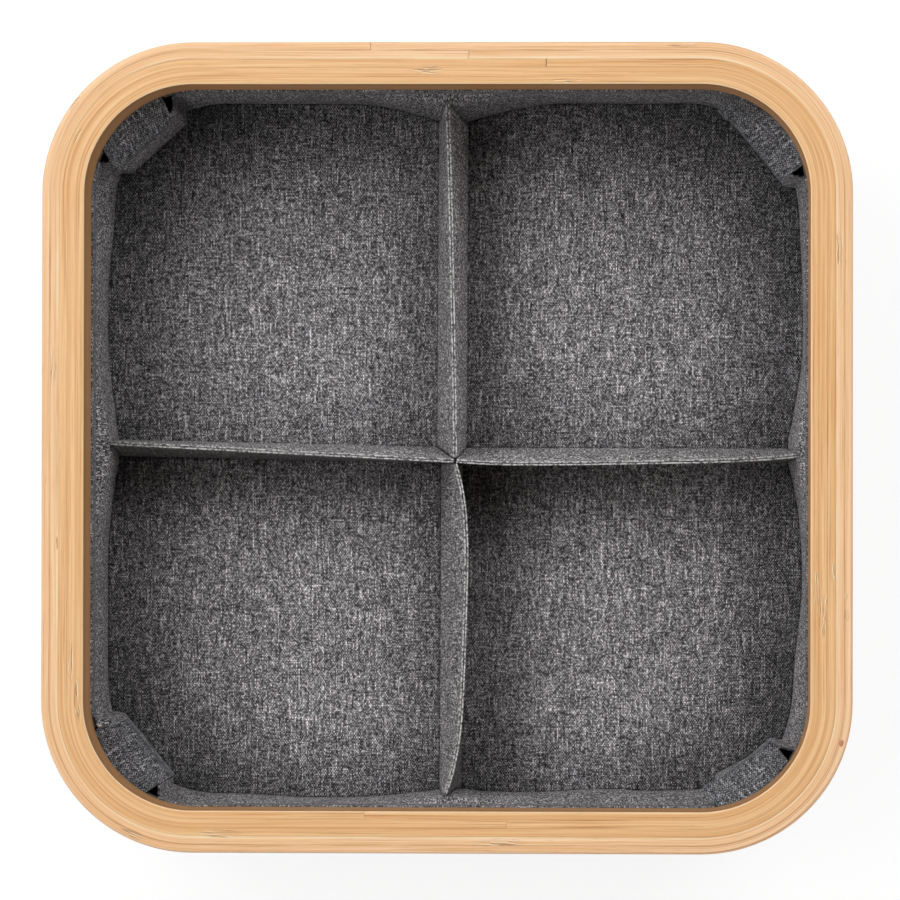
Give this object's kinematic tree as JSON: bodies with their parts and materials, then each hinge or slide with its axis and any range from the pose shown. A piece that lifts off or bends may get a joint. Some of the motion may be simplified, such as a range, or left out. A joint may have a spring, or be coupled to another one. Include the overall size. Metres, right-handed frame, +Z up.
{
  "type": "storage organizer",
  "caption": "Square open-top organizer: a grey fabric basket split by crossed cloth dividers, hung under a rounded laminated bamboo rim.",
  "frame": {"origin": "on the surface that the organizer stands on, under the centre of the rim", "axes": "+Z up out of the compartments, +X to the right and +Y to the back of the pictured top view"},
  "size_m": [0.3, 0.3, 0.106],
  "materials": {
    "bamboo": "satin lacquered laminated bamboo",
    "outer_cloth": "dark grey melange linen-look weave",
    "lining_cloth": "dark grey melange linen-look weave",
    "board": "grey stiffener board",
    "black_steel": "black coated steel",
    "zinc_steel": "zinc plated"
  },
  "bodies": {
    "root": {"base_board": "board", "bottom_cloth": "outer_cloth", "clip_screw_back_left_1": "zinc_steel", "clip_screw_back_left_2": "zinc_steel", "clip_screw_back_right_1": "zinc_steel", "clip_screw_back_right_2": "zinc_steel", "clip_screw_front_left_1": "zinc_steel", "clip_screw_front_left_2": "zinc_steel", "clip_screw_front_right_1": "zinc_steel", "clip_screw_front_right_2": "zinc_steel", "corner_tab_back_left": "outer_cloth", "corner_tab_back_right": "outer_cloth", "corner_tab_front_left": "outer_cloth", "corner_tab_front_right": "outer_cloth", "divider_back_leaf_left": "lining_cloth", "divider_back_leaf_right": "lining_cloth", "divider_front_leaf_left": "lining_cloth", "divider_front_leaf_right": "lining_cloth", "divider_left_leaf_back": "lining_cloth", "divider_left_leaf_front": "lining_cloth", "divider_right_leaf_back": "lining_cloth", "divider_right_leaf_front": "lining_cloth", "hem_back": "outer_cloth", "hem_front": "outer_cloth", "hem_left": "outer_cloth", "hem_right": "outer_cloth", "hoop_clip_back_left_1": "black_steel", "hoop_clip_back_left_2": "black_steel", "hoop_clip_back_right_1": "black_steel", "hoop_clip_back_right_2": "black_steel", "hoop_clip_front_left_1": "black_steel", "hoop_clip_front_left_2": "black_steel", "hoop_clip_front_right_1": "black_steel", "hoop_clip_front_right_2": "black_steel", "outer_wall_cloth": "outer_cloth", "pocket_floor_back_left": "lining_cloth", "pocket_floor_back_right": "lining_cloth", "pocket_floor_front_left": "lining_cloth", "pocket_floor_front_right": "lining_cloth", "pocket_wall_back_left": "lining_cloth", "pocket_wall_back_right": "lining_cloth", "pocket_wall_front_left": "lining_cloth", "pocket_wall_front_right": "lining_cloth", "rim_ply_1": "bamboo", "rim_ply_2": "bamboo", "rim_ply_3": "bamboo", "rim_ply_4": "bamboo", "rim_ply_5": "bamboo", "wall_board_back": "board", "wall_board_front": "board", "wall_board_left": "board", "wall_board_right": "board", "wire_hoop": "black_steel"}
  },
  "joints": []
}
